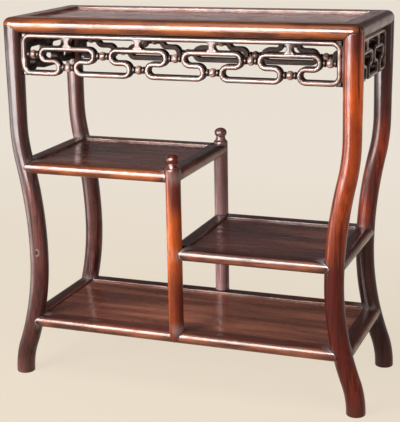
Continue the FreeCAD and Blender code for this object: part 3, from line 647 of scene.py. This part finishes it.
def postRings(sign):
    # Turned outline about an upright axis: plain post, rounded shoulder, hollow neck, flattened ball and
    # low dome. The foot's edge follows the rail's half-round nose, or the point in front of it if higher.
    p = postShape
    angle = np.linspace(0, 2 * math.pi, p["around"], endpoint=False)
    radius, half = p["radius"], shelfFrame["thickness"] / 2
    inset = shelfY - (p["halfY"] + radius * np.sin(angle))
    ahead = half - np.clip(inset, 0, half)           # of the middle of the nose
    nose = p["railTop"] - half + np.sqrt(np.clip(half ** 2 - ahead ** 2, 0, None))
    point = p["tip"] + (p["railTop"] - p["tip"]) * np.abs(np.cos(angle))
    foot = np.where(inset > 0, np.maximum(nose, point), point) + stand["hairline"]
    climb = np.array(p["footShares"])[:, None]
    z = foot + climb * (p["plainFrom"] - foot)
    r = np.full(z.shape, radius)
    quarter = np.linspace(0, math.pi / 2, p["turnRows"])
    shoulderR = p["ledge"] + (radius - p["ledge"]) * np.cos(quarter)
    shoulderZ = p["shoulder"] + (p["ledgeZ"] - p["shoulder"]) * np.sin(quarter)
    share = np.linspace(0, 1, p["turnRows"])
    neckZ = p["ledgeZ"] + share * (p["neckTop"] - p["ledgeZ"])
    waist = p["ledge"] + share * (p["neck"] - p["ledge"]) - p["neckHollow"] * np.sin(math.pi * share)
    ballZ = p["ballTop"] - p["neckTop"]
    low, wide, high = (p["neck"], 0), (p["ball"], p["ballMiddle"] * ballZ), (p["cap"], ballZ)
    centre, side = circleThrough(low, wide, high)
    start = math.atan2(low[1] - centre[1], low[0] - centre[0])
    stop = math.atan2(high[1] - centre[1], high[0] - centre[0])
    swing = np.linspace(start, stop, p["ballRows"])
    ballR = centre[0] + side * np.cos(swing)
    ballZ = p["neckTop"] + centre[1] + side * np.sin(swing)
    domeR = p["cap"] * np.cos(quarter[1:] * p["domeShare"])
    domeZ = p["ballTop"] + (p["crown"] - p["ballTop"]) * np.sin(quarter[1:])
    plainZ = np.linspace(p["plainFrom"], p["shoulder"], p["rows"])[1:-1]
    lineR = np.concatenate([np.full(len(plainZ), radius), shoulderR, waist[1:], ballR[1:], domeR])
    lineZ = np.concatenate([plainZ, shoulderZ, neckZ[1:], ballZ[1:], domeZ])
    z = np.vstack([z, np.repeat(lineZ[:, None], len(angle), axis=1)])
    r = np.vstack([r, np.repeat(lineR[:, None], len(angle), axis=1)])
    rubbed = np.clip((z - p["neckTop"]) / p["rubReach"], 0, 1)
    for dustZ in p["dustHeights"]:
        rubbed = rubbed - p["dustDepth"] * np.exp(-((z - dustZ) / legShape["dustReach"]) ** 2)
    rubbed[0] = -1
    rubbed[np.isclose(z, p["neckTop"]) | np.isclose(z, p["ledgeZ"])] = p["grooveWear"]
    x = p["x"] + r * np.cos(angle)
    y = sign * (p["halfY"] + r * np.sin(angle))
    return np.stack([x, y, z], -1), rubbed


postTones = {                # tone, and its (height, warmth) stops
    -1: ("amber", [(0.14, -0.2), (0.24, 0.05), (0.32, 0.45), (0.4, 0.4), (0.46, -0.3), (0.54, -1)]),
    # the back post's pale tone is painted sheen
    1: ("paleSheen", [(0.14, -0.2), (0.3, 0.1), (0.48, -0.1), (0.5, -0.9), (0.54, -1)]),
}
for sign in (-1, 1):
    name = "post" + faceWord[sign]
    rings, rubbed = postRings(sign)
    tone, warmth = postTones[sign]
    shift = np.multiply(postShape["grainPlace"], (sign, 1, 1))
    finish = woodFinish(name + "Wood", tone, "Z", shift, warmth, postShape["figure"])
    makePiece(name, [tube(rings, rubbed)], finish)
print("posts made")

# Pierced aprons
apronShape = {
    "top": 0.7865,
    "height": 0.091,
    "thickness": 0.020,
    "recess": 0.0115,        # face of the apron behind the leg's outer face
    "strand": 0.011,         # width of the looped strand
    "ridge": 0.0029,         # half width of the raised line along it
    "rise": 0.0026,
    "crown": 0.4,            # the lower, the flatter its top
    "cove": 0.0034,          # depth of the strand's edges behind the raised line
    "corner": 0.0155,        # turn of the strand in the corners of its frame
    "stem": 0.013,
    "flareShare": 0.8,       # widening at each end of a stem, as part of half its height
    "neck": 0.0096,
    "collarShare": 0.25,     # each collar, as part of the gap between strands
    "bulgeShare": 0.65,      # swelling of the bead, as part of its half length
    "ringShare": 0.8,        # and of a collar
    "margin": 0.0035,        # flat margin behind the raised line of the frame
    "skin": 0.0014,          # stems lie this far inside the faces
    "lanes": 3,              # rows that the looped strand runs in
    "bendStep": 0.2,         # radians between points where the strand turns
    "bendPoints": 5,         # fewest points of a turn
    "runStep": 0.02,         # distance between points where it goes straight
    "lineRows": 19,
    "easeShare": 1 / 6,      # eased back edges, as part of the strand's half width
    "edgeWearAndPaintedLight": -0.6,        # grime and painted shade beside and behind the raised line
    "rubAndHighlightPower": 0.5,         # the lower, the wider the rubbed top of the line, paler with wear and painted highlight
    "rubAndHighlightLoss": 0.1,
    "around": 28,            # points round a bead or a stem
    "collarRows": 9,
    "beadRows": 19,
    "collarShadeAndWear": (-0.7, 0.3),       # grime and painted shade beside a collar, and a little paler on top of it
    "stemRows": 17,
    "stemSquare": 0.4,       # below 1 squares the rounded plan
    "stemFace": -0.7,        # how far forward the paler face of a stem begins
    "stemWearAndPaintedLight": (0.3, -0.5),         # wear and painted highlight on its face, painted shade down its sides
    "plateShadeAndGrime": -0.85,
    "plateBack": 0.0005,     # flat margins stop this far before the back
    "plateLapShare": 0.5,    # side margins start under the strand, as part of its half width
    "plateReach": 0.0032,    # and end this far beyond it
    "plateInset": 0.0002,
    "cornerLap": 0.0066,     # corner margins start inside the upright strand
    "cornerReach": 0.001,
    "cornerInset": 0.0004,
    "cornerHeight": 0.010,
    "polish": 0.3,
    "grainPlace": (0.37, 1.9, 0.8),
}
longSide = {"axis": stand["legHalfX"], "outer": outerY, "grain": "X", "loops": 4, "gap": 0.040, "wear": 1}
shortSide = {"axis": stand["legHalfY"], "outer": outerX, "grain": "Y", "loops": 2, "gap": 0.022,
             "wear": 0.7}
apronSides = {
    "frontApron": dict(longSide, turn=0),
    "backApron": dict(longSide, turn=math.pi),
    "leftApron": dict(shortSide, turn=-math.pi / 2),
    "rightApron": dict(shortSide, turn=math.pi / 2),
}


def strandLine(start, moves):
    # A pen that goes straight or turns on a radius: gives points and the left-hand normals along its line
    a = apronShape
    here, heading = np.array(start), 0.0
    points, normals = [], []
    for length, bend, radius in moves:
        if bend:
            swing = np.linspace(0, bend, max(a["bendPoints"], int(abs(bend) / a["bendStep"])))[1:]
            turnSign = math.copysign(1, bend)
            left = np.stack([-np.sin(heading + swing), np.cos(heading + swing)], -1)
            middle = here + turnSign * radius * np.array([-math.sin(heading), math.cos(heading)])
            line = middle - turnSign * radius * left
            heading += bend
        else:
            way = np.array([math.cos(heading), math.sin(heading)])
            steps = np.linspace(0, length, max(2, int(length / a["runStep"])))[1:, None]
            line = here + steps * way
            left = np.broadcast_to([-way[1], way[0]], line.shape)
        points.append(line)
        normals.append(left)
        here = line[-1]
    return np.vstack(points), np.vstack(normals)


def strandSection():
    # Closed outline across the strand: a raised line to the front between lower flat edges, straight sides
    # and eased back edges. The line's height is a low power of the sine, so it is nearly flat on top.
    a = apronShape
    half, deep, ridge, cove = a["strand"] / 2, a["thickness"], a["ridge"], a["cove"]
    angle = np.linspace(math.pi, 0, a["lineRows"])
    line = np.stack([ridge * np.cos(angle), a["rise"] * (1 - np.sin(angle) ** a["crown"])], -1)
    ease = half * a["easeShare"]
    left = [(-half, cove + ease), (ease - half, cove)]
    right = [(half - ease, cove), (half, cove + ease)]
    back = [(half, deep - ease), (half - ease, deep), (ease - half, deep), (-half, deep - ease)]
    outline = np.vstack([left, line, right, back])
    # painted shade with grime on the flat edges, sides and back; wear and painted highlight on the raised
    # line
    rubbed = np.full(len(outline), a["edgeWearAndPaintedLight"])
    rubbed[len(left):len(left) + len(line)] = np.sin(angle) ** a["rubAndHighlightPower"] - a["rubAndHighlightLoss"]
    return outline, rubbed


def plate(x, y, z):
    # Flat filler with square edges, as two rings round a box
    ring = np.array([(x[0], z[0]), (x[1], z[0]), (x[1], z[1]), (x[0], z[1])])
    rings = [np.stack([ring[:, 0], np.full(len(ring), depth), ring[:, 1]], -1) for depth in y]
    # darkened all over with painted shade and grime
    return tube(np.stack(rings), apronShape["plateShadeAndGrime"])


def beadRow(x, z, length):
    # Bead between two collars turned about a level line: a neck plus a half-ellipse over each swelling
    a = apronShape
    neck = a["neck"] / 2
    collar = a["collarShare"] * length
    waist = length / 2 - collar
    end = length / 2
    along = np.concatenate([[-end - a["strand"] / 2], np.linspace(-end, -waist, a["collarRows"]),
                            np.linspace(-waist, waist, a["beadRows"])[1:],
                            np.linspace(waist, end, a["collarRows"])[1:], [end + a["strand"] / 2]])
    onBead = np.clip(1 - (along / waist) ** 2, 0, None)
    onCollar = np.clip(1 - ((np.abs(along) - waist - collar / 2) / (collar / 2)) ** 2, 0, None)
    swell = np.maximum(a["bulgeShare"] * waist * np.sqrt(onBead),
                       a["ringShare"] * collar / 2 * np.sqrt(onCollar))
    radius = (neck + swell)[:, None]
    angle = np.linspace(0, 2 * math.pi, a["around"], endpoint=False)
    rings = np.stack([np.broadcast_to((x + along)[:, None], (len(along), len(angle))),
                      a["thickness"] / 2 + radius * np.cos(angle), z + radius * np.sin(angle)], -1)
    # the bead paler with wear and painted highlight, the collars darker with painted shade
    beside, onTop = a["collarShadeAndWear"]
    wornAndPaintedLight = np.where(np.abs(along) < waist, onBead, onTop * onCollar + beside)
    return tube(rings, wornAndPaintedLight[:, None])


def stemRings(x, low, high):
    # Upright whose sides are arcs hollowed towards each other: the half width grows from the middle by
    # the arc's radius less the drop of its circle at that height. It goes straight on into both strands.
    a = apronShape
    half = (high - low) / 2
    flare = a["flareShare"] * half
    arc = (half ** 2 + flare ** 2) / (2 * flare)
    beyond = 1 + a["strand"] / 2 / half
    lift = np.concatenate([[-beyond], np.linspace(-1, 1, a["stemRows"]), [beyond]])
    drop = half * np.clip(lift, -1, 1)
    wide = (a["stem"] / 2 + arc - np.sqrt(arc ** 2 - drop ** 2))[:, None]
    angle = np.linspace(0, 2 * math.pi, a["around"], endpoint=False)
    along = np.sign(np.cos(angle)) * np.abs(np.cos(angle)) ** a["stemSquare"]
    deep = np.sign(np.sin(angle)) * np.abs(np.sin(angle)) ** a["stemSquare"]
    mid = a["thickness"] / 2
    shape = (len(lift), len(angle))
    rings = np.stack([x + wide * along, np.broadcast_to(mid + (mid - a["skin"]) * deep, shape),
                      np.broadcast_to(((low + high) / 2 + half * lift)[:, None], shape)], -1)
    # face paler with wear and painted highlight, sides darker with painted shade
    return tube(rings, np.where(deep < a["stemFace"], *a["stemWearAndPaintedLight"]))


def apronShells(side):
    # The looped strand and its frame as one endless line, with stems, beads and flat corner margins
    a = apronShape
    half = a["strand"] / 2
    reachX = side["axis"] - stand["legRadius"] - half                # middle of the upright strands
    top = a["top"] - half
    base = a["top"] - a["height"] + half
    step = (top - base) / a["lanes"]
    turn = step / 2
    gap = side["gap"] / 2
    pitch = 2 * (reachX - gap) / side["loops"]
    reach = pitch / 2 - gap
    stems = [(k - (side["loops"] - 1) / 2) * pitch for k in range(side["loops"])]
    corner = a["corner"]
    moves = []
    x = corner - reachX
    inner = reach - gap - 2 * turn
    for stemX in stems:
        moves += [(stemX - gap - turn - x, 0, 0), (0, math.pi, turn), (inner, 0, 0), (0, -math.pi, turn),
                  (2 * (reach - turn), 0, 0), (0, -math.pi, turn), (inner, 0, 0), (0, math.pi, turn)]
        x = stemX + gap + turn
    upright = top - base - 2 * corner
    for length in (reachX - corner - x, upright, 2 * (reachX - corner), upright):
        moves += [(length, 0, 0), (0, math.pi / 2, corner)]
    points, normals = strandLine((corner - reachX, base), moves)
    section, rubbed = strandSection()
    flat = points[:, None, :] + normals[:, None, :] * section[None, :, :1]
    deep = np.broadcast_to(section[:, 1], flat.shape[:2])
    shells = [tube(np.stack([flat[..., 0], deep, flat[..., 1]], -1), rubbed, loop=True)]
    for stemX in stems:
        shells.append(stemRings(stemX, top - step + half, top - half))
        shells.append(beadRow(stemX, base + turn, side["gap"] - a["strand"]))
    for k in range(side["loops"] + 1):
        beadX = k * pitch - pitch * side["loops"] / 2
        shells.append(beadRow(beadX, base + step + turn, side["gap"] - a["strand"]))
    depth = (a["margin"], a["thickness"] - a["plateBack"])
    foot = a["top"] - a["height"]
    low, high = foot + a["cornerInset"], a["top"] - a["cornerInset"]
    for sign in (-1, 1):
        edge = np.sort([sign * (reachX + half * a["plateLapShare"]),
                        sign * (reachX + half + a["plateReach"])])
        shells.append(plate(edge, depth, (foot + a["plateInset"], a["top"] - a["plateInset"])))
        edge = np.sort([sign * (reachX - a["cornerLap"]), sign * (reachX + half + a["cornerReach"])])
        shells.append(plate(edge, depth, (low, low + a["cornerHeight"])))
        shells.append(plate(edge, depth, (high - a["cornerHeight"], high)))
    return shells


def placeShell(shell, side):
    # Moves a shell made on y = 0 out to its face of the stand and turns it there
    cosine, sine = math.cos(side["turn"]), math.sin(side["turn"])
    x, y, z = shell["verts"].T
    y = y + apronShape["recess"] - side["outer"]
    return dict(shell, verts=np.stack([cosine * x - sine * y, sine * x + cosine * y, z], -1))


for k, (name, side) in enumerate(apronSides.items()):
    shift = np.multiply(apronShape["grainPlace"], (k, 1, k))
    finish = woodFinish(name + "Wood", "carved", side["grain"], shift, polish=apronShape["polish"],
                        wear=side["wear"])
    makePiece(name, [placeShell(shell, side) for shell in apronShells(side)], finish)
print("aprons made")

# Panels and battens keep their CAD shape and get their own boards
panelLook = {
    # the bottom panel's lighter tone is painted light
    "tones": {"bottom_shelf_panel": ("floorPanel", 0.35), "top_panel": ("topPanel", 0.7)},
    "otherTone": ("panel", 0.7),     # tone and strength of the figure
    "polish": 0.3,
    "gloss": 0.1,
    "grainPlace": (0.21, 0.5, 1.3),
}
battenLook = {"polish": 0.5, "coat": 0.0, "grainPlace": (0.4, 0.9, 0.2)}
for k, (node, shape) in enumerate(sorted(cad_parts.items())):
    if node.endswith("panel"):
        tone, figure = panelLook["tones"].get(node, panelLook["otherTone"])
        shift = np.multiply(panelLook["grainPlace"], (k, k, 1))
        finish = woodFinish(node + "Wood", tone, "X", shift, 0.0, figure, panelLook["polish"],
                            gloss=panelLook["gloss"])
    elif "batten" in node:
        shift = np.multiply(battenLook["grainPlace"], (k, 1, k))
        finish = woodFinish(node + "Wood", "batten", "Y", shift, polish=battenLook["polish"],
                            coat=battenLook["coat"])
    else:
        continue
    for place in shape.material_slots:
        place.material = finish
print("panels and battens finished")

# Floor, light and camera
studio = {
    "cream": (0.855, 0.755, 0.620),  # floor near the stand
    "far": (0.935, 0.855, 0.750),    # and far behind it
    "farFrom": (0.0, 2.5),
    "floorHalf": 20.0,       # half its length and width
    "glowShare": 0.85,       # part of the floor's tone that doesn't take shadow
    "haze": (0.80, 0.70, 0.69),      # surroundings near the horizon
    "zenith": (0.10, 0.098, 0.096),  # and overhead
    "hazeRise": (0.06, 0.19),   # slope at which the haze starts to thin and where it ends
}
lamps = {                    # place, aim, width, height, power in watts, and what it serves
    "frontLight": ((-1.3, -2.2, 1.0), (0, 0, 0.45), 1.4, 1.2, 55, "light"),
    "topLight": ((-0.3, -0.8, 2.4), (0, 0, 0.45), 1.2, 1.2, 18, "light"),
    "fillLight": ((1.8, -1.5, 1.0), (0, 0, 0.45), 0.9, 0.9, 12, "light"),
    "railCard": ((-0.55, -1.3, 1.12), (-0.55, 0, 1.12), 1.7, 0.75, 265, "gleam"),
    "legCard": ((-0.80, -1.3, 0.5), (-0.80, 0, 0.5), 1.4, 0.42, 66, "gleam"),
    "lowCard": ((-1.0, -0.4, 0.35), (-0.35, -0.15, 0.35), 0.6, 0.7, 10, "gleam"),
    "rimCard": ((2.0, 0.6, 0.85), (0, 0, 0.45), 0.5, 0.8, 5, "gleam"),
    "overheadCard": ((-0.35, -0.85, 2.35), (0, 0, 0.45), 1.2, 1.0, 18, "gleam"),
}
view = {                     # camera station and its turns in degrees
    "place": (0.8985, -2.3963, 1.0581),
    "left": 20.67,
    "down": 14.87,
    "roll": -1.02,
    "lens": 100.1,           # both in millimetres
    "sensor": 36,
}


def floorFinish():
    # Cream floor: camera and mirror rays see an even tone with a soft shadow, other rays plain paint
    finish = bpy.data.materials.new("floorPaint")
    finish.use_nodes = True
    tree = finish.node_tree
    tree.nodes.remove(tree.nodes["Principled BSDF"])
    place = addNode(tree, "ShaderNodeTexCoord", {}).outputs["Object"]
    back = addNode(tree, "ShaderNodeSeparateXYZ", {0: place}).outputs["Y"]
    away = ramp(tree, back, *studio["farFrom"])
    tone = blendColour(tree, away, (*studio["cream"], 1), (*studio["far"], 1))
    paint = addNode(tree, "ShaderNodeBsdfDiffuse", {"Color": tone}).outputs[0]
    shine = addNode(tree, "ShaderNodeEmission", {"Color": tone}).outputs[0]
    both = addNode(tree, "ShaderNodeMixShader", {0: studio["glowShare"], 1: paint, 2: shine}).outputs[0]
    path = addNode(tree, "ShaderNodeLightPath", {}).outputs
    seen = math2(tree, "MAXIMUM", path["Is Camera Ray"], path["Is Glossy Ray"])
    seen = math2(tree, "MAXIMUM", seen, path["Is Transmission Ray"])
    mix = addNode(tree, "ShaderNodeMixShader", {0: seen, 1: paint, 2: both}).outputs[0]
    feed(tree, tree.nodes["Material Output"], {"Surface": mix})
    return finish


def makeFloor():
    half = studio["floorHalf"]
    corners = np.array([(-half, -half, 0), (half, -half, 0), (half, half, 0), (-half, half, 0)])
    mesh = bpy.data.meshes.new("floor")
    mesh.from_pydata(corners.tolist(), [], [(0, 1, 2, 3)])
    mesh.materials.append(floorFinish())
    floor = bpy.data.objects.new("floor", mesh)
    bpy.context.scene.collection.objects.link(floor)


def makeWorld():
    # Pale near the horizon and dim overhead
    world = bpy.data.worlds.new("studioAir")
    bpy.context.scene.world = world
    world.use_nodes = True
    tree = world.node_tree
    way = addNode(tree, "ShaderNodeTexCoord", {}).outputs["Generated"]
    up = addNode(tree, "ShaderNodeSeparateXYZ", {0: way}).outputs["Z"]
    rise = ramp(tree, up, *studio["hazeRise"])
    air = blendColour(tree, rise, (*studio["haze"], 1), (*studio["zenith"], 1))
    feed(tree, tree.nodes["Background"], {"Color": air, "Strength": 1})


def makeLamp(name, place, aim, width, height, power, serves):
    # A light shades the wood; a gleam is a white card that shows only in its polish
    lamp = bpy.data.lights.new(name, "AREA")
    lamp.shape = "RECTANGLE"
    lamp.size = width
    lamp.size_y = height
    lamp.energy = power
    holder = bpy.data.objects.new(name, lamp)
    holder.location = place
    holder.rotation_euler = (Vector(aim) - Vector(place)).to_track_quat("-Z", "Y").to_euler()
    holder.visible_camera = False
    holder.visible_glossy = serves == "gleam"
    holder.visible_diffuse = serves == "light"
    bpy.context.scene.collection.objects.link(holder)


def makeCamera():
    # The frame is turned left, tipped down and rolled about its line of sight
    left, down, roll = (math.radians(view[key]) for key in ("left", "down", "roll"))
    ahead = Vector((-math.sin(left) * math.cos(down), math.cos(left) * math.cos(down), -math.sin(down)))
    right = Vector((math.cos(left), math.sin(left), 0))
    up = right.cross(ahead)
    across = math.cos(roll) * right + math.sin(roll) * up
    upright = math.cos(roll) * up - math.sin(roll) * right
    lens = bpy.data.cameras.new("photoCamera")
    lens.lens = view["lens"]
    lens.sensor_width = view["sensor"]
    camera = bpy.data.objects.new("photoCamera", lens)
    turn = Matrix((across, upright, -ahead)).transposed().to_4x4()
    camera.matrix_world = Matrix.Translation(view["place"]) @ turn
    bpy.context.scene.collection.objects.link(camera)
    bpy.context.scene.camera = camera


makeFloor()
makeWorld()
for name, setting in lamps.items():
    makeLamp(name, *setting)
makeCamera()
bpy.context.scene.view_settings.view_transform = "Standard"
print("studio ready")
